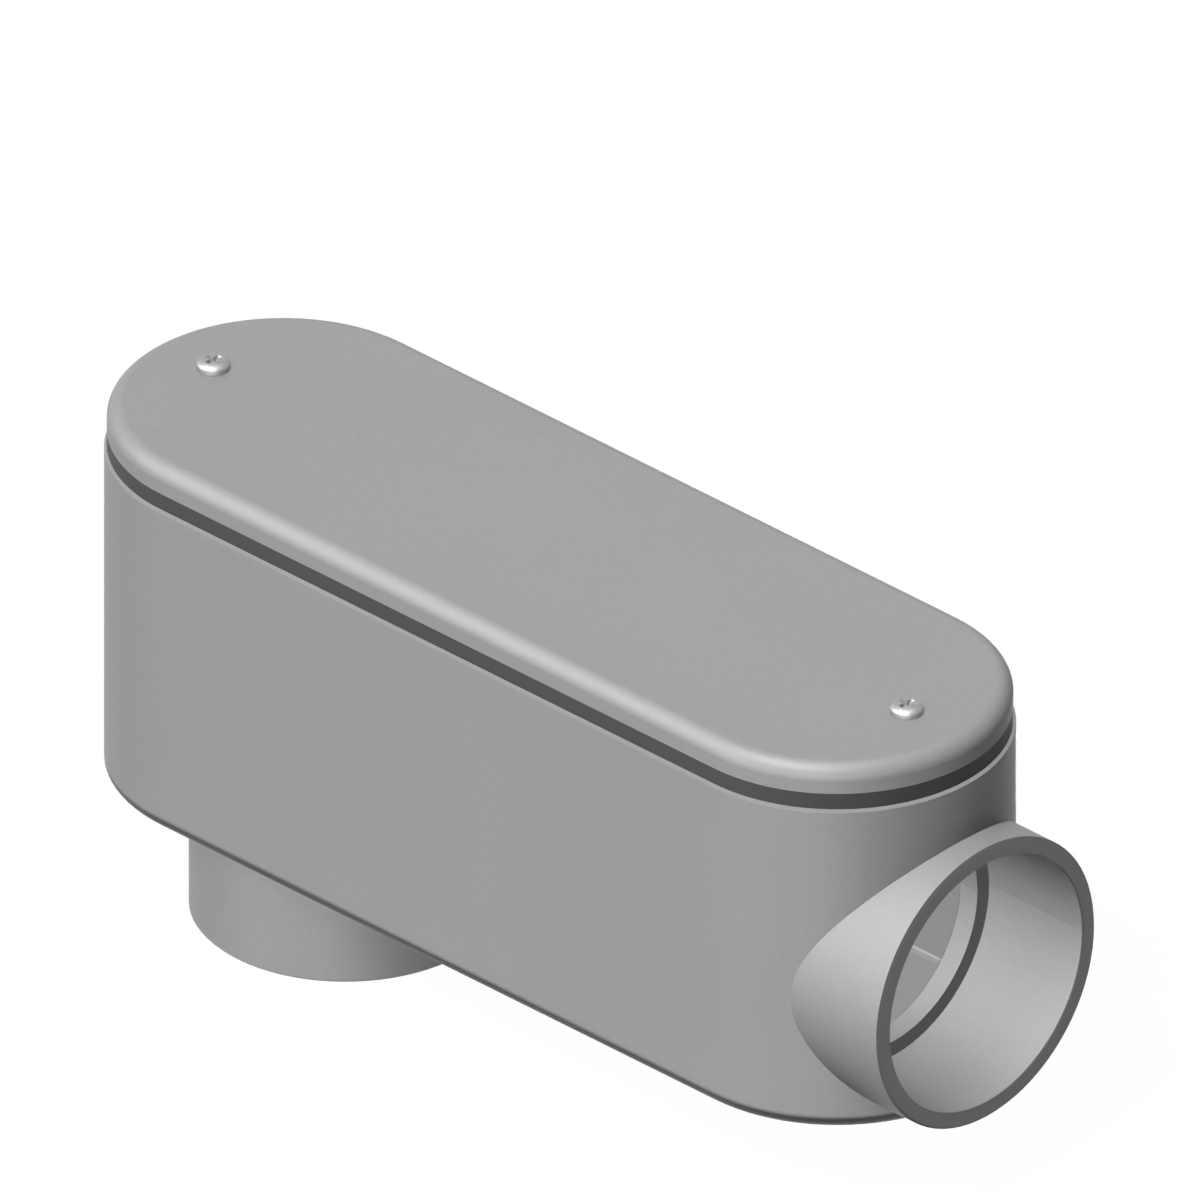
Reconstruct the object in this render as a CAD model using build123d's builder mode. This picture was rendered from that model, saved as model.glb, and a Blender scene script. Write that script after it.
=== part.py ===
from build123d import *
from math import atan2, cos, pi, sin
import os

os.makedirs("parts", exist_ok=True)

# Millimetres. The mouth of the back hub is centred on the origin and faces -Z.
# The long axis of the body runs along X, with the end hub mouth facing +X.

# Body shell
body_width = 77.7
arc_spacing = 167.0
body_height = 80.5
wall_thickness = 5.1
floor_thickness = 3.8
cavity_edge_chamfer = 1.0
bottom_edge_fillet = 2.5
rim_edge_chamfer = 0.6

# Hubs, both sized for the same conduit
socket_radius = 30.25
socket_depth = 28.5
hub_wall = 3.75
stop_width = 3.65
stop_ring_length = 6.0
back_hub_inset = 57.65
back_socket_sink = 1.0
end_hub_sink = 1.6
end_hub_reach = 6.25
mouth_edge_chamfer = 0.5
ring_edge_chamfer = 1.0
throat_edge_chamfer = 0.5

# Screw bosses and the webs that tie them to the end walls
screw_inset = 17.85
boss_radius = 6.3
boss_top_drop = 0.5
web_thickness = 4.0
web_top_drop = 5.6
boss_hole_depth = 11.5
boss_hole_lead = 0.75

# Gasket
edge_inset = 0.6
gasket_band = 5.85
gasket_thickness = 3.9
lug_nose_radius = 6.4
lug_root_half_width = 8.2
lug_root_fillet = 3.0

# Cover
cover_thickness = 6.6
cover_edge_fillet = 3.5

# Cover screws
shank_radius = 2.5
shank_length = 19.0
tip_chamfer = 0.6
head_radius = 3.75
head_height = 2.3
head_rim_height = 0.9
recess_span = 4.4
recess_width = 1.0
recess_depth = 1.3

# Clearances
screw_hole_gap = 0.3
boss_hole_gap = 0.1

# Derived positions
hub_radius = socket_radius + hub_wall
throat_radius = socket_radius - stop_width
body_radius = body_width / 2
floor_z = socket_depth - back_socket_sink
rim_z = floor_z + body_height
cavity_z = floor_z + floor_thickness
axis_z = floor_z - end_hub_sink + hub_radius
half_length = arc_spacing / 2 + body_radius
middle_x = half_length - back_hub_inset
body_end_x = middle_x + half_length
screw_spacing = 2 * (half_length - screw_inset)
mouth_x = body_end_x + end_hub_reach
stop_x = mouth_x - socket_depth
ring_x = stop_x - stop_ring_length
left_x = middle_x - screw_spacing / 2
right_x = middle_x + screw_spacing / 2
boss_top_z = rim_z - boss_top_drop
web_top_z = rim_z - web_top_drop
hole_bottom_z = rim_z - boss_hole_depth
boss_hole_radius = shank_radius + boss_hole_gap
screw_hole_radius = shank_radius + screw_hole_gap
web_reach = body_end_x - wall_thickness / 2 - right_x
gasket_z = rim_z
cover_z = gasket_z + gasket_thickness
cover_top_z = cover_z + cover_thickness
cover_width = body_width - 2 * edge_inset
inner_arc_radius = cover_width / 2 - gasket_band
lug_length = arc_spacing / 2 + inner_arc_radius - screw_spacing / 2
lug_angle = atan2(lug_root_half_width - lug_nose_radius, lug_length)
lug_tangent_x = lug_nose_radius * sin(lug_angle)
lug_tangent_y = lug_nose_radius * cos(lug_angle)
lug_overlap = gasket_band / 2

# One-piece moulded body: obround box, two sockets, two screw bosses
with BuildPart() as conduit_body:
    with BuildSketch(Plane.XY.offset(floor_z)):
        with Locations((middle_x, 0)):
            SlotCenterToCenter(arc_spacing, body_width)
    extrude(amount=body_height)
    fillet(conduit_body.edges().group_by(Axis.Z)[0], radius=bottom_edge_fillet)
    chamfer(conduit_body.edges().group_by(Axis.Z)[-1], length=rim_edge_chamfer)

    # Cavity
    with BuildSketch(Plane.XY.offset(cavity_z)):
        with Locations((middle_x, 0)):
            SlotCenterToCenter(arc_spacing, body_width - 2 * wall_thickness)
    extrude(amount=rim_z - cavity_z, mode=Mode.SUBTRACT)
    cavity_edges = conduit_body.edges().filter_by_position(Axis.Z, cavity_z - 0.01, cavity_z + 0.01)
    chamfer(cavity_edges, length=cavity_edge_chamfer)

    # End hub tube, running into the cavity as far as the stop ring
    with BuildSketch(Plane.YZ.offset(ring_x)):
        with Locations((0, axis_z)):
            Circle(hub_radius)
    extrude(amount=mouth_x - ring_x)
    chamfer(conduit_body.edges().group_by(Axis.X)[-1], length=mouth_edge_chamfer)

    # Solid bed under the tube
    with BuildSketch(Plane.XY.offset(floor_z + floor_thickness / 2)):
        with Locations((middle_x, 0)):
            SlotCenterToCenter(arc_spacing, body_width - wall_thickness)
        with Locations((ring_x + body_radius, 0)):
            Rectangle(body_width, body_width, mode=Mode.INTERSECT)
    extrude(amount=axis_z - floor_z - floor_thickness / 2)

    # Back hub
    with BuildSketch(Plane.XY):
        Circle(hub_radius)
    extrude(amount=floor_z + floor_thickness / 2)
    chamfer(conduit_body.edges().group_by(Axis.Z)[0], length=mouth_edge_chamfer)

    # Boss columns: the left one stands on the floor, the right one on the tube
    with BuildSketch(Plane.XY.offset(floor_z + floor_thickness / 2)):
        with Locations((left_x, 0)):
            Circle(boss_radius)
    extrude(amount=boss_top_z - floor_z - floor_thickness / 2)
    with BuildSketch(Plane.XY.offset(axis_z)):
        with Locations((right_x, 0)):
            Circle(boss_radius)
    extrude(amount=boss_top_z - axis_z)

    # Webs from the bosses to the end walls
    with BuildSketch(Plane.XY.offset(floor_z + floor_thickness / 2)):
        with Locations((left_x - web_reach / 2, 0)):
            Rectangle(web_reach, web_thickness)
    extrude(amount=web_top_z - floor_z - floor_thickness / 2)
    with BuildSketch(Plane.XY.offset(axis_z)):
        with Locations((right_x + web_reach / 2, 0)):
            Rectangle(web_reach, web_thickness)
    extrude(amount=web_top_z - axis_z)

    # End hub socket, then the narrower throat behind it
    with BuildSketch(Plane.YZ.offset(stop_x)):
        with Locations((0, axis_z)):
            Circle(socket_radius)
    extrude(amount=socket_depth, mode=Mode.SUBTRACT)
    with BuildSketch(Plane.YZ.offset(ring_x)):
        with Locations((0, axis_z)):
            Circle(throat_radius)
    extrude(amount=stop_ring_length, mode=Mode.SUBTRACT)

    # Back hub socket, ending in the floor, which is its stop
    with BuildSketch(Plane.XY):
        Circle(socket_radius)
    extrude(amount=socket_depth, mode=Mode.SUBTRACT)
    with BuildSketch(Plane.XY.offset(socket_depth)):
        Circle(throat_radius)
    extrude(amount=cavity_z - socket_depth, mode=Mode.SUBTRACT)

    # Screw holes with a small lead-in
    with BuildSketch(Plane.XY.offset(hole_bottom_z)):
        with Locations((left_x, 0), (right_x, 0)):
            Circle(boss_hole_radius)
    extrude(amount=boss_top_z - hole_bottom_z, mode=Mode.SUBTRACT)
    boss_tops = conduit_body.edges().filter_by_position(Axis.Z, boss_top_z - 0.01, boss_top_z + 0.01)
    hole_mouths = boss_tops.filter_by(lambda edge: edge.length < 2 * pi * boss_hole_radius + 0.01)
    chamfer(hole_mouths, length=boss_hole_lead)

    # Broken edges on the floor's throat and on the stop ring
    throat_edges = conduit_body.edges().filter_by(GeomType.CIRCLE).filter_by(
        lambda edge: abs(edge.radius - throat_radius) < 0.01
    )
    floor_edge = throat_edges.filter_by_position(Axis.Z, cavity_z - 0.01, cavity_z + 0.01)
    ring_edge = throat_edges.filter_by_position(Axis.X, ring_x - 0.01, ring_x + 0.01)
    chamfer(floor_edge, length=throat_edge_chamfer)
    chamfer(ring_edge, length=ring_edge_chamfer)
conduit_body.part.label = "conduit_body"
export_step(conduit_body.part, "parts/conduit_body.step")

# Rubber gasket: a flat band on the rim with a lug round each screw
with BuildPart() as gasket:
    with BuildSketch(Plane.XY.offset(gasket_z)):
        with Locations((middle_x, 0)):
            SlotCenterToCenter(arc_spacing, cover_width)
            SlotCenterToCenter(arc_spacing, cover_width - 2 * gasket_band, mode=Mode.SUBTRACT)
        with Locations(Location((right_x, 0, 0)), Location((left_x, 0, 0), 180)):
            Circle(lug_nose_radius)
            Polygon(
                (-lug_tangent_x, -lug_tangent_y),
                (lug_length + lug_overlap, -lug_root_half_width),
                (lug_length + lug_overlap, lug_root_half_width),
                (-lug_tangent_x, lug_tangent_y),
                align=None,
            )
    extrude(amount=gasket_thickness)
    root_edges = gasket.edges().filter_by(Axis.Z).filter_by(
        lambda edge: abs(edge.center().X - middle_x) > screw_spacing / 2 + lug_nose_radius / 2
    )
    fillet(root_edges, radius=lug_root_fillet)
    with BuildSketch(Plane.XY.offset(gasket_z)):
        with Locations((left_x, 0), (right_x, 0)):
            Circle(screw_hole_radius)
    extrude(amount=gasket_thickness, mode=Mode.SUBTRACT)
gasket.part.label = "gasket"
export_step(gasket.part, "parts/gasket.step")

# Moulded cover plate with a rounded top edge
with BuildPart() as cover:
    with BuildSketch(Plane.XY.offset(cover_z)):
        with Locations((middle_x, 0)):
            SlotCenterToCenter(arc_spacing, cover_width)
    extrude(amount=cover_thickness)
    fillet(cover.edges().group_by(Axis.Z)[-1], radius=cover_edge_fillet)
    with BuildSketch(Plane.XY.offset(cover_z)):
        with Locations((left_x, 0), (right_x, 0)):
            Circle(screw_hole_radius)
    extrude(amount=cover_thickness, mode=Mode.SUBTRACT)
cover.part.label = "cover"
export_step(cover.part, "parts/cover.step")

# Left cover screw: plain shank at the thread's outside diameter, domed head, cross recess
with BuildPart() as cover_screw_left:
    with BuildSketch(Plane.XY.offset(cover_top_z - shank_length)):
        with Locations((left_x, 0)):
            Circle(shank_radius)
    extrude(amount=shank_length)
    chamfer(cover_screw_left.edges().group_by(Axis.Z)[0], length=tip_chamfer)
    with BuildSketch(Plane.XZ):
        with BuildLine():
            Polyline(
                (left_x, cover_top_z + head_height),
                (left_x, cover_top_z),
                (left_x + head_radius, cover_top_z),
                (left_x + head_radius, cover_top_z + head_rim_height),
            )
            TangentArc(
                (left_x, cover_top_z + head_height),
                (left_x + head_radius, cover_top_z + head_rim_height),
                tangent=(1, 0),
            )
        make_face()
    revolve(axis=Axis((left_x, 0, 0), (0, 0, 1)), revolution_arc=360)
    with BuildSketch(Plane.XY.offset(cover_top_z + head_height)):
        with Locations((left_x, 0)):
            Rectangle(recess_span, recess_width)
            Rectangle(recess_width, recess_span)
    extrude(amount=-recess_depth, mode=Mode.SUBTRACT)
cover_screw_left.part.label = "cover_screw_left"
export_step(cover_screw_left.part, "parts/cover_screw_left.step")

# Right cover screw, the same screw in the other hole
with BuildPart() as cover_screw_right:
    with Locations((screw_spacing, 0, 0)):
        add(cover_screw_left.part)
cover_screw_right.part.label = "cover_screw_right"
export_step(cover_screw_right.part, "parts/cover_screw_right.step")
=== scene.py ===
import math

import bmesh
import bpy
from mathutils import Matrix, Vector


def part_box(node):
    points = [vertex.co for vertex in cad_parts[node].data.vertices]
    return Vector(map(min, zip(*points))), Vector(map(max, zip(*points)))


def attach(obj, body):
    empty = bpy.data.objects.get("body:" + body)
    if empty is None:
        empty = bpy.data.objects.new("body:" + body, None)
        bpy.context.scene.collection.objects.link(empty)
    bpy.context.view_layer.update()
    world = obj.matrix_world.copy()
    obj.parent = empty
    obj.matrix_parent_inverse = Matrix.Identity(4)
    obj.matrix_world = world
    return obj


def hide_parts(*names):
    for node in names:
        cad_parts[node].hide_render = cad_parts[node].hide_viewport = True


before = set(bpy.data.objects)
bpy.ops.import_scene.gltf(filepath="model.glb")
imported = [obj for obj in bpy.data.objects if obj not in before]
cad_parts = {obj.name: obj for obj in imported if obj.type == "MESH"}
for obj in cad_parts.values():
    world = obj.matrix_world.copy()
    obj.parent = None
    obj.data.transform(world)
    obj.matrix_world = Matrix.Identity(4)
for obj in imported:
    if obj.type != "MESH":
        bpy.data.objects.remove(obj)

scene = bpy.context.scene
scene.view_settings.view_transform = "Standard"
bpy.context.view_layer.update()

# Metres. Places are worked out from the CAD nodes.
body_low, body_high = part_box("conduit_body")
cover_low, cover_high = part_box("cover")
rim_z = body_high.z
mouth_x = body_high.x
cover_top = cover_high.z
middle_x = (cover_low.x + cover_high.x) / 2

# Heights and hub sizes that the CAD box of the body doesn't give
WALL_FOOT = 0.0275
CAVITY_FOOT = 0.0313
HUB_AXIS = 0.0599
HUB_RADIUS = 0.0340

# Bands in which the body's edges are shaded: low and high of each fade
BOTTOM_TOP_FADE = (0.0036, 0.00126)
BOTTOM_FOOT_FADE = (-0.0001, -0.00001)
BOTTOM_MOUTH_FADE = (-0.0053, -0.0063)
BOTTOM_HUB_FADE = (-0.0012, -0.0006)
CAVITY_LOW_FADE = (-0.0001, -0.00005)
CAVITY_HIGH_FADE = (0.00065, 0.00058)
CAVITY_MOUTH_FADE = (-0.0355, -0.0365)
CAVITY_FACING_FADE = (0.4, 0.6)
RIM_FADE = (-0.00065, -0.00058)
MOUTH_FADE = (-0.00054, -0.00046)
BOTTOM_DROP = 1.25
EDGE_LIFT = 3.0
MOUTH_PUSH = 5.0

# Screws
SHANK_RADIUS = 0.0025
THREAD_PITCH = 0.0016
THREAD_DEPTH = 0.00010
THREAD_SLOPE = 1.35
THREAD_CREST = 0.15
PLAIN_NECK = 0.0008
NECK_SHARE = 0.97
TIP_LENGTH = 0.0016
TIP_RADIUS = 0.0014
SEAT_GAP = 0.00002
HEAD_ROUND = 0.00012
HEAD_RIM = 0.0011
DOME_STEPS = 14
DOME_TURN = 0.5 * math.pi
DOME_SHARE = 0.97
DOME_FULLNESS = 0.6
RECESS_SPAN = 0.0046
RECESS_WIDTH = 0.00115
RECESS_DEPTH = 0.0014
RECESS_OVERSHOOT = 0.001
SIDES = 72
ROWS_PER_TURN = 20
SHARP_ANGLE = 32

# Colours and gloss
PLASTIC_GREY = 0.385
RUBBER_BLACK = 0.052
STEEL_GREY = 0.30
PLASTIC_SPECULAR = 0.5
RUBBER_SPECULAR = 0.3


# Node helpers
def new_material(name):
    mat = bpy.data.materials.new(name)
    mat.use_nodes = True
    tree = mat.node_tree
    tree.nodes.clear()
    out = tree.nodes.new("ShaderNodeOutputMaterial")
    return mat, tree, out


def noise(tree, scale, detail, rough, vector):
    node = tree.nodes.new("ShaderNodeTexNoise")
    node.inputs["Scale"].default_value = scale
    node.inputs["Detail"].default_value = detail
    node.inputs["Roughness"].default_value = rough
    tree.links.new(vector, node.inputs["Vector"])
    return node.outputs["Fac"]


def ramp(tree, fac, low, high, dark, light):
    """Grey ramp from dark at low to light at high."""
    node = tree.nodes.new("ShaderNodeValToRGB")
    node.color_ramp.elements[0].position = low
    node.color_ramp.elements[1].position = high
    node.color_ramp.elements[0].color = (dark, dark, dark, 1)
    node.color_ramp.elements[1].color = (light, light, light, 1)
    tree.links.new(fac, node.inputs["Fac"])
    return node.outputs["Color"]


def span(tree, fac, low, high):
    """Spread the middle of a noise over low to high."""
    node = tree.nodes.new("ShaderNodeMapRange")
    node.inputs["From Min"].default_value = 0.3
    node.inputs["From Max"].default_value = 0.7
    node.inputs["To Min"].default_value = low
    node.inputs["To Max"].default_value = high
    tree.links.new(fac, node.inputs["Value"])
    return node.outputs["Result"]


def bump(tree, height, strength, distance, normal=None):
    node = tree.nodes.new("ShaderNodeBump")
    node.inputs["Strength"].default_value = strength
    node.inputs["Distance"].default_value = distance
    tree.links.new(height, node.inputs["Height"])
    if normal is not None:
        tree.links.new(normal, node.inputs["Normal"])
    return node.outputs["Normal"]


def object_coords(tree):
    return tree.nodes.new("ShaderNodeTexCoord").outputs["Object"]


def split(tree, vector):
    node = tree.nodes.new("ShaderNodeSeparateXYZ")
    tree.links.new(vector, node.inputs[0])
    return node.outputs


def combine(tree, operation, a, b):
    """Math node on two values, each a socket or a plain number."""
    node = tree.nodes.new("ShaderNodeMath")
    node.operation = operation
    for socket, value in zip(node.inputs, (a, b)):
        if isinstance(value, float):
            socket.default_value = value
        else:
            tree.links.new(value, socket)
    return node.outputs[0]


def fade(tree, value, start, limits):
    """Smooth step from 0 at start + limits[0] to 1 at start + limits[1]."""
    node = tree.nodes.new("ShaderNodeMapRange")
    node.interpolation_type = "SMOOTHSTEP"
    node.inputs["From Min"].default_value = start + limits[0]
    node.inputs["From Max"].default_value = start + limits[1]
    tree.links.new(value, node.inputs["Value"])
    return node.outputs["Result"]


def product(tree, *values):
    result = values[0]
    for value in values[1:]:
        result = combine(tree, "MULTIPLY", result, value)
    return result


# Materials
def hub_distance(tree, co):
    """Distance from the end hub's axis."""
    from_axis = tree.nodes.new("ShaderNodeVectorMath")
    from_axis.operation = "MULTIPLY_ADD"
    from_axis.inputs[1].default_value = (0.0, 1.0, 1.0)
    from_axis.inputs[2].default_value = (0.0, 0.0, -HUB_AXIS)
    tree.links.new(co, from_axis.inputs[0])
    length = tree.nodes.new("ShaderNodeVectorMath")
    length.operation = "LENGTH"
    tree.links.new(from_axis.outputs[0], length.inputs[0])
    return length.outputs["Value"]


def edge_tilt(tree, co, normal):
    """Tilt the shading at the body's edges, as the photograph's edge lines show them.

    The rounded bottom edge is shaded as facing further down, the rim's edge break and the
    cavity's floor edge as facing up, and the mouth's chamfer as facing outwards.
    """
    place = split(tree, co)
    along, height = place["X"], place["Z"]
    bottom = product(tree,
                     fade(tree, height, WALL_FOOT, BOTTOM_TOP_FADE),
                     fade(tree, height, WALL_FOOT, BOTTOM_FOOT_FADE),
                     fade(tree, along, mouth_x, BOTTOM_MOUTH_FADE),
                     fade(tree, hub_distance(tree, co), HUB_RADIUS, BOTTOM_HUB_FADE))
    cavity = product(tree,
                     fade(tree, height, CAVITY_FOOT, CAVITY_LOW_FADE),
                     fade(tree, height, CAVITY_FOOT, CAVITY_HIGH_FADE),
                     fade(tree, split(tree, normal)["Z"], 0.0, CAVITY_FACING_FADE),
                     fade(tree, along, mouth_x, CAVITY_MOUTH_FADE))
    rim = fade(tree, height, rim_z, RIM_FADE)
    mouth = fade(tree, along, mouth_x, MOUTH_FADE)
    lift = product(tree, combine(tree, "MAXIMUM", cavity, rim), EDGE_LIFT)
    push = tree.nodes.new("ShaderNodeCombineXYZ")
    tree.links.new(product(tree, mouth, MOUTH_PUSH), push.inputs["X"])
    tree.links.new(combine(tree, "SUBTRACT", lift, product(tree, bottom, BOTTOM_DROP)), push.inputs["Z"])
    tilted = tree.nodes.new("ShaderNodeVectorMath")
    tilted.operation = "ADD"
    tree.links.new(normal, tilted.inputs[0])
    tree.links.new(push.outputs[0], tilted.inputs[1])
    unit = tree.nodes.new("ShaderNodeVectorMath")
    unit.operation = "NORMALIZE"
    tree.links.new(tilted.outputs[0], unit.inputs[0])
    return unit.outputs[0]


def moulding_material(name, edges=False):
    """Grey moulded plastic: fine mould grain, faint clouding, dull gloss."""
    mat, tree, out = new_material(name)
    co = object_coords(tree)
    bsdf = tree.nodes.new("ShaderNodeBsdfPrincipled")
    cloud = noise(tree, 22.0, 4.0, 0.55, co)
    speck = noise(tree, 900.0, 2.0, 0.6, co)
    mix = tree.nodes.new("ShaderNodeMix")
    mix.data_type = "RGBA"
    mix.blend_type = "MULTIPLY"
    mix.inputs["Factor"].default_value = 1.0
    tree.links.new(ramp(tree, cloud, 0.3, 0.7, PLASTIC_GREY * 0.98, PLASTIC_GREY * 1.02), mix.inputs["A"])
    tree.links.new(ramp(tree, speck, 0.35, 0.65, 0.97, 1.02), mix.inputs["B"])
    tree.links.new(mix.outputs["Result"], bsdf.inputs["Base Color"])
    tree.links.new(span(tree, cloud, 0.49, 0.52), bsdf.inputs["Roughness"])
    grain = bump(tree, noise(tree, 2600.0, 2.0, 0.5, co), 0.12, 0.00004)
    normal = bump(tree, noise(tree, 60.0, 2.0, 0.5, co), 0.08, 0.0003, grain)
    if edges:
        normal = edge_tilt(tree, co, normal)
    tree.links.new(normal, bsdf.inputs["Normal"])
    bsdf.inputs["Specular IOR Level"].default_value = PLASTIC_SPECULAR
    tree.links.new(bsdf.outputs["BSDF"], out.inputs["Surface"])
    return mat


def rubber_material(name):
    """Black moulded rubber: dull, with a slight bloom and a fine skin texture."""
    mat, tree, out = new_material(name)
    co = object_coords(tree)
    bsdf = tree.nodes.new("ShaderNodeBsdfPrincipled")
    bloom = noise(tree, 40.0, 5.0, 0.6, co)
    tree.links.new(ramp(tree, bloom, 0.32, 0.70, RUBBER_BLACK * 0.92, RUBBER_BLACK * 1.10),
                   bsdf.inputs["Base Color"])
    tree.links.new(span(tree, bloom, 0.66, 0.80), bsdf.inputs["Roughness"])
    tree.links.new(bump(tree, noise(tree, 1500.0, 3.0, 0.6, co), 0.25, 0.00006), bsdf.inputs["Normal"])
    bsdf.inputs["Specular IOR Level"].default_value = RUBBER_SPECULAR
    tree.links.new(bsdf.outputs["BSDF"], out.inputs["Surface"])
    return mat


def steel_material(name):
    """Zinc-plated steel: slightly clouded, with fine marks round the axis."""
    mat, tree, out = new_material(name)
    co = object_coords(tree)
    bsdf = tree.nodes.new("ShaderNodeBsdfPrincipled")
    cloud = noise(tree, 350.0, 4.0, 0.6, co)
    tree.links.new(ramp(tree, cloud, 0.3, 0.7, STEEL_GREY * 0.92, STEEL_GREY * 1.08),
                   bsdf.inputs["Base Color"])
    tree.links.new(span(tree, cloud, 0.44, 0.52), bsdf.inputs["Roughness"])
    stretch = tree.nodes.new("ShaderNodeMapping")
    stretch.inputs["Scale"].default_value = (400.0, 400.0, 9000.0)
    tree.links.new(co, stretch.inputs["Vector"])
    marks = noise(tree, 1.0, 2.0, 0.5, stretch.outputs["Vector"])
    tree.links.new(bump(tree, marks, 0.15, 0.00003), bsdf.inputs["Normal"])
    bsdf.inputs["Metallic"].default_value = 1.0
    tree.links.new(bsdf.outputs["BSDF"], out.inputs["Surface"])
    return mat


def dress(node, mat):
    """Put a material on a CAD node, and keep the node from lighting the rest of the part."""
    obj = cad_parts[node]
    obj.data.materials.clear()
    obj.data.materials.append(mat)
    obj.visible_diffuse = False


screw_mat = steel_material("screw_zinc")
dress("conduit_body", moulding_material("moulding_body", edges=True))
dress("cover", moulding_material("moulding_cover"))
dress("gasket", rubber_material("gasket_rubber"))
dress("cover_screw_left", screw_mat)
dress("cover_screw_right", screw_mat)


# Cover screws with a thread and a cross recess
def lathe(bm, rows):
    """Closed skin over rows of (radius, height, thread depth); a depth of 0 leaves the row plain."""
    rings = []
    for radius, z, depth in rows:
        ring = []
        for i in range(SIDES):
            angle = 2 * math.pi * i / SIDES
            r = radius
            if depth:
                phase = (z / THREAD_PITCH - i / SIDES) % 1.0
                flank = abs(2 * phase - 1)
                r = radius - depth * min(1.0, max(0.0, THREAD_SLOPE * flank - THREAD_CREST))
            ring.append(bm.verts.new((r * math.cos(angle), r * math.sin(angle), z)))
        rings.append(ring)
    for low, high in zip(rings, rings[1:]):
        for i in range(SIDES):
            j = (i + 1) % SIDES
            bm.faces.new((low[i], low[j], high[j], high[i]))
    bm.faces.new(list(reversed(rings[0])))
    bm.faces.new(rings[-1])


def cross_cutter(top):
    """Tapered cross that cuts the driver recess down from the top of the head."""
    bm = bmesh.new()
    levels = ((top - RECESS_DEPTH, RECESS_SPAN * 0.24, RECESS_WIDTH * 0.36),
              (top + RECESS_OVERSHOOT, RECESS_SPAN * 0.62, RECESS_WIDTH * 0.60))
    for turn in (0.0, math.pi / 2):
        turned = Matrix.Rotation(turn, 3, "Z")
        corners = []
        for z, half_span, half_width in levels:
            for x, y in ((-1, -1), (1, -1), (1, 1), (-1, 1)):
                corners.append(bm.verts.new(turned @ Vector((x * half_span, y * half_width, z))))
        low, high = corners[:4], corners[4:]
        bm.faces.new(list(reversed(low)))
        bm.faces.new(high)
        for i in range(4):
            j = (i + 1) % 4
            bm.faces.new((low[i], low[j], high[j], high[i]))
    mesh = bpy.data.meshes.new("recess")
    bm.to_mesh(mesh)
    bm.free()
    return mesh


def screw_rows(head, tip, top):
    """Profile of a screw from its tip, at z = tip, to the top of its head, at z = top."""
    rows = [(TIP_RADIUS, tip + SEAT_GAP, 0.0)]
    row_gap = THREAD_PITCH / ROWS_PER_TURN
    z = tip + row_gap
    while z < -PLAIN_NECK:
        near_tip = min(1.0, (z - tip) / TIP_LENGTH)
        near_neck = min(1.0, (-PLAIN_NECK - z) / THREAD_PITCH)
        radius = TIP_RADIUS + (SHANK_RADIUS - TIP_RADIUS) * math.sqrt(near_tip)
        rows.append((radius, z, THREAD_DEPTH * min(near_tip, near_neck)))
        z += row_gap
    neck = SHANK_RADIUS * NECK_SHARE
    rows += [(neck, -PLAIN_NECK, 0.0), (neck, SEAT_GAP, 0.0), (head * NECK_SHARE, SEAT_GAP, 0.0)]
    for i in range(1, 4):
        t = i * math.pi / 6
        rows.append((head * (NECK_SHARE + (1 - NECK_SHARE) * math.sin(t)),
                     SEAT_GAP + HEAD_ROUND * (1 - math.cos(t)), 0.0))
    for i in range(DOME_STEPS + 1):
        t = i / DOME_STEPS * DOME_TURN * DOME_SHARE
        rows.append((head * math.cos(t) ** DOME_FULLNESS,
                     HEAD_RIM + (top - HEAD_RIM) * math.sin(t), 0.0))
    return rows


def cut_recess(piece, top):
    """Cut the cross recess and leave the result as the piece's own mesh."""
    cutter = bpy.data.objects.new(piece.name + "_recess", cross_cutter(top))
    scene.collection.objects.link(cutter)
    cut = piece.modifiers.new("recess", "BOOLEAN")
    cut.operation = "DIFFERENCE"
    cut.solver = "EXACT"
    cut.use_self = True
    cut.object = cutter
    bpy.context.view_layer.update()
    shaped = bpy.data.meshes.new_from_object(piece.evaluated_get(bpy.context.evaluated_depsgraph_get()))
    piece.modifiers.clear()
    bpy.data.objects.remove(cutter)
    piece.data = shaped


def screw(name, node, body):
    """Threaded screw in place of the plain CAD one."""
    low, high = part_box(node)
    head = (high.x - low.x) / 2
    top = high.z - cover_top
    bm = bmesh.new()
    lathe(bm, screw_rows(head, low.z - cover_top, top))
    mesh = bpy.data.meshes.new(name)
    bm.to_mesh(mesh)
    bm.free()
    piece = bpy.data.objects.new(name, mesh)
    scene.collection.objects.link(piece)
    cut_recess(piece, top)
    for poly in piece.data.polygons:
        poly.use_smooth = True
    piece.data.set_sharp_from_angle(angle=math.radians(SHARP_ANGLE))
    piece.data.materials.clear()
    piece.data.materials.append(screw_mat)
    piece.location = ((low.x + high.x) / 2, (low.y + high.y) / 2, cover_top)
    piece.visible_diffuse = False
    bpy.context.view_layer.update()
    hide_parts(node)
    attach(piece, body)


screw("left_cover_screw", "cover_screw_left", "screw_left")
screw("right_cover_screw", "cover_screw_right", "screw_right")


# Camera
def direction(azimuth, elevation):
    """Unit vector towards a place given in degrees; azimuth 0 is the -Y side."""
    a, e = math.radians(azimuth), math.radians(elevation)
    return Vector((math.sin(a) * math.cos(e), -math.cos(a) * math.cos(e), math.sin(e)))


CAMERA_AZIMUTH = 44.0
CAMERA_ELEVATION = 30.9
CAMERA_DISTANCE = 2.0
FRAME_WIDTH = 0.2602
AIM_RIGHT = 0.00865
AIM_DOWN = 0.00402

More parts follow.
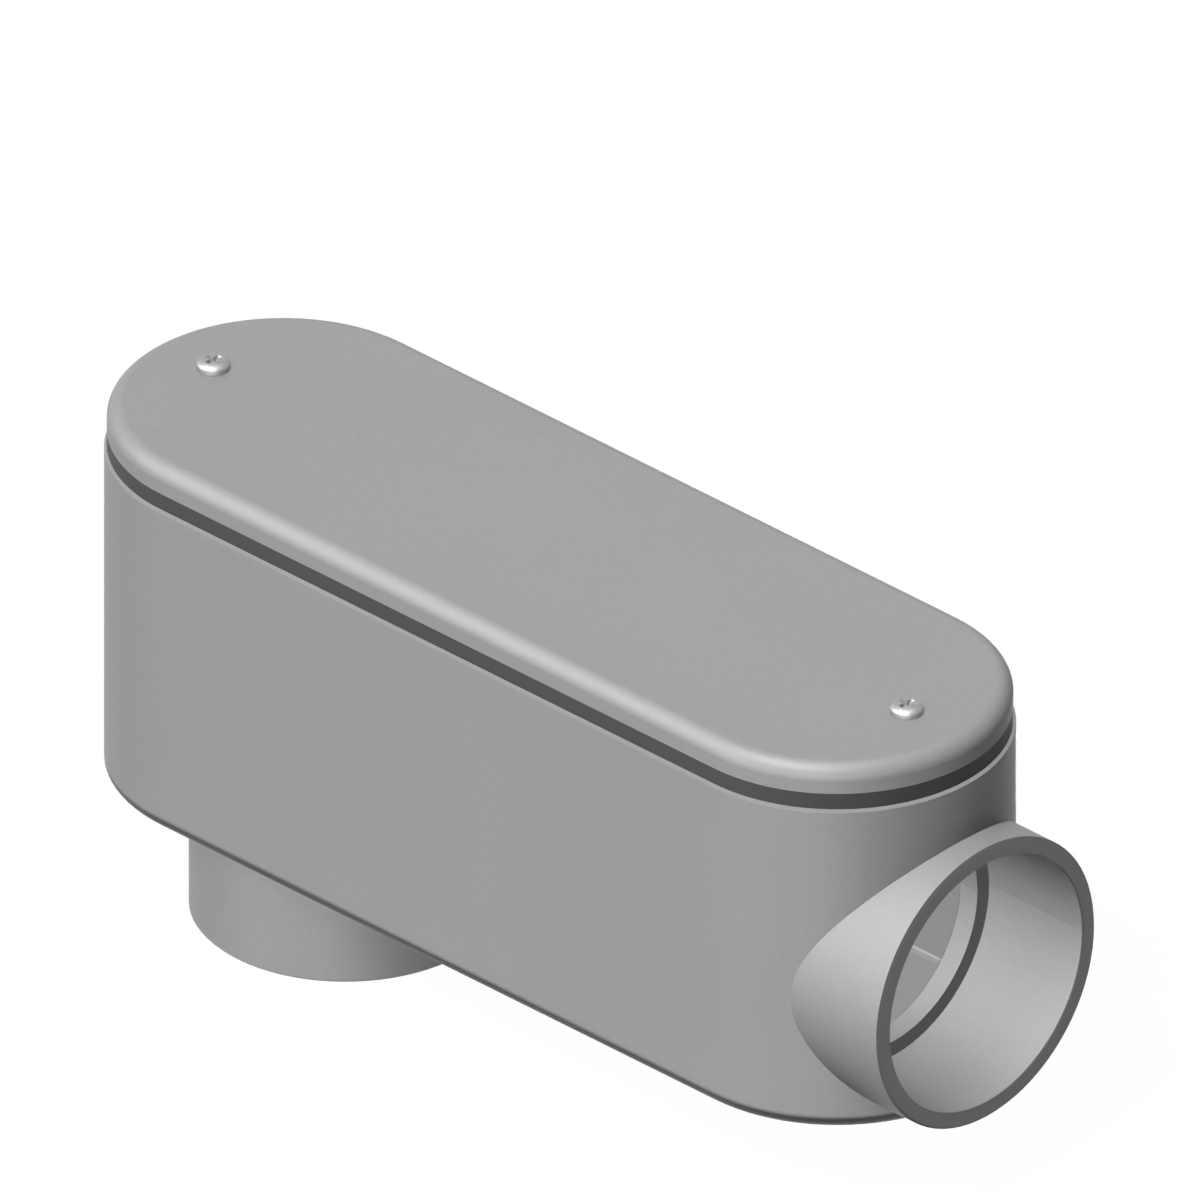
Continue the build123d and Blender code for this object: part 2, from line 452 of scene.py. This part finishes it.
back = direction(CAMERA_AZIMUTH, CAMERA_ELEVATION)
right = Vector((math.cos(math.radians(CAMERA_AZIMUTH)), math.sin(math.radians(CAMERA_AZIMUTH)), 0.0))
up = back.cross(right)
aim = Vector((middle_x, 0.0, rim_z)) + right * AIM_RIGHT - up * AIM_DOWN
cam_data = bpy.data.cameras.new("camera")
cam_data.type = "ORTHO"
cam_data.ortho_scale = FRAME_WIDTH
cam_data.clip_end = 20.0
camera = bpy.data.objects.new("camera", cam_data)
scene.collection.objects.link(camera)
turned_to_view = Matrix((right, up, back)).transposed().to_4x4()
camera.matrix_world = Matrix.Translation(aim + back * CAMERA_DISTANCE) @ turned_to_view
scene.camera = camera

# Lights
KEY_AZIMUTH = 12.0
KEY_ELEVATION = 52.0
KEY_ANGLE = 16.0
GLOSS_ANGLE = 40.0
GLOSS_SUNS = (("gloss_a", -18.0, -6.0, 2.0),
              ("gloss_b", -48.0, 26.0, 2.0),
              ("gloss_c", 32.0, -4.0, 3.0),
              ("gloss_d", -30.0, 72.0, 3.0))


def sun(name, azimuth, elevation, strength, angle, shadow=False, gloss_only=False):
    data = bpy.data.lights.new(name, "SUN")
    data.energy = strength
    data.angle = math.radians(angle)
    data.use_shadow = shadow
    obj = bpy.data.objects.new(name, data)
    scene.collection.objects.link(obj)
    towards = direction(azimuth, elevation)
    obj.rotation_euler = towards.to_track_quat("Z", "Y").to_euler()
    obj.location = towards * 3.0
    if gloss_only:
        obj.visible_diffuse = False


sun("key_soft", KEY_AZIMUTH, KEY_ELEVATION, 0.40, KEY_ANGLE, shadow=True)
sun("key_fill", KEY_AZIMUTH, KEY_ELEVATION, 2.80, KEY_ANGLE)
sun("back_fill", CAMERA_AZIMUTH + 180.0, -CAMERA_ELEVATION, 2.3, KEY_ANGLE)
for name, azimuth, elevation, strength in GLOSS_SUNS:
    sun(name, azimuth, elevation, strength, GLOSS_ANGLE, gloss_only=True)


# World and floor
def seen_ray(tree):
    """1 for camera, glossy and transmission rays, 0 for the rest."""
    path = tree.nodes.new("ShaderNodeLightPath")
    seen = combine(tree, "MAXIMUM", path.outputs["Is Camera Ray"], path.outputs["Is Glossy Ray"])
    return combine(tree, "MAXIMUM", seen, path.outputs["Is Transmission Ray"])


def seen_mix(tree, hidden, seen, out):
    """Show one shader to the rays that see the white surroundings, and the other to the rest."""
    mix = tree.nodes.new("ShaderNodeMixShader")
    tree.links.new(seen_ray(tree), mix.inputs[0])
    tree.links.new(hidden.outputs[0], mix.inputs[1])
    tree.links.new(seen.outputs[0], mix.inputs[2])
    tree.links.new(mix.outputs[0], out.inputs["Surface"])


def shader(tree, kind, grey, strength=None):
    node = tree.nodes.new(kind)
    node.inputs["Color"].default_value = (grey, grey, grey, 1)
    if strength is not None:
        node.inputs["Strength"].default_value = strength
    return node


world = bpy.data.worlds.new("world")
scene.world = world
world.use_nodes = True
world_tree = world.node_tree
world_tree.nodes.clear()
seen_mix(world_tree,
         shader(world_tree, "ShaderNodeBackground", 1.0, 0.004),
         shader(world_tree, "ShaderNodeBackground", 1.0, 1.0),
         world_tree.nodes.new("ShaderNodeOutputWorld"))

floor_mat, floor_tree, floor_out = new_material("floor_pale")
floor_sum = floor_tree.nodes.new("ShaderNodeAddShader")
floor_glow = shader(floor_tree, "ShaderNodeEmission", 1.0, 0.805)
floor_lit = shader(floor_tree, "ShaderNodeBsdfDiffuse", 0.26)
floor_tree.links.new(floor_glow.outputs[0], floor_sum.inputs[0])
floor_tree.links.new(floor_lit.outputs[0], floor_sum.inputs[1])
seen_mix(floor_tree, shader(floor_tree, "ShaderNodeBsdfDiffuse", 0.02), floor_sum, floor_out)

FLOOR_HALF = 6.0
FLOOR_Z = -0.0002
floor_corners = [(x * FLOOR_HALF, y * FLOOR_HALF, FLOOR_Z) for x, y in ((-1, -1), (1, -1), (1, 1), (-1, 1))]
floor_mesh = bpy.data.meshes.new("floor")
floor_mesh.from_pydata(floor_corners, [], [(0, 1, 2, 3)])
floor_mesh.materials.append(floor_mat)
floor = bpy.data.objects.new("floor", floor_mesh)
scene.collection.objects.link(floor)
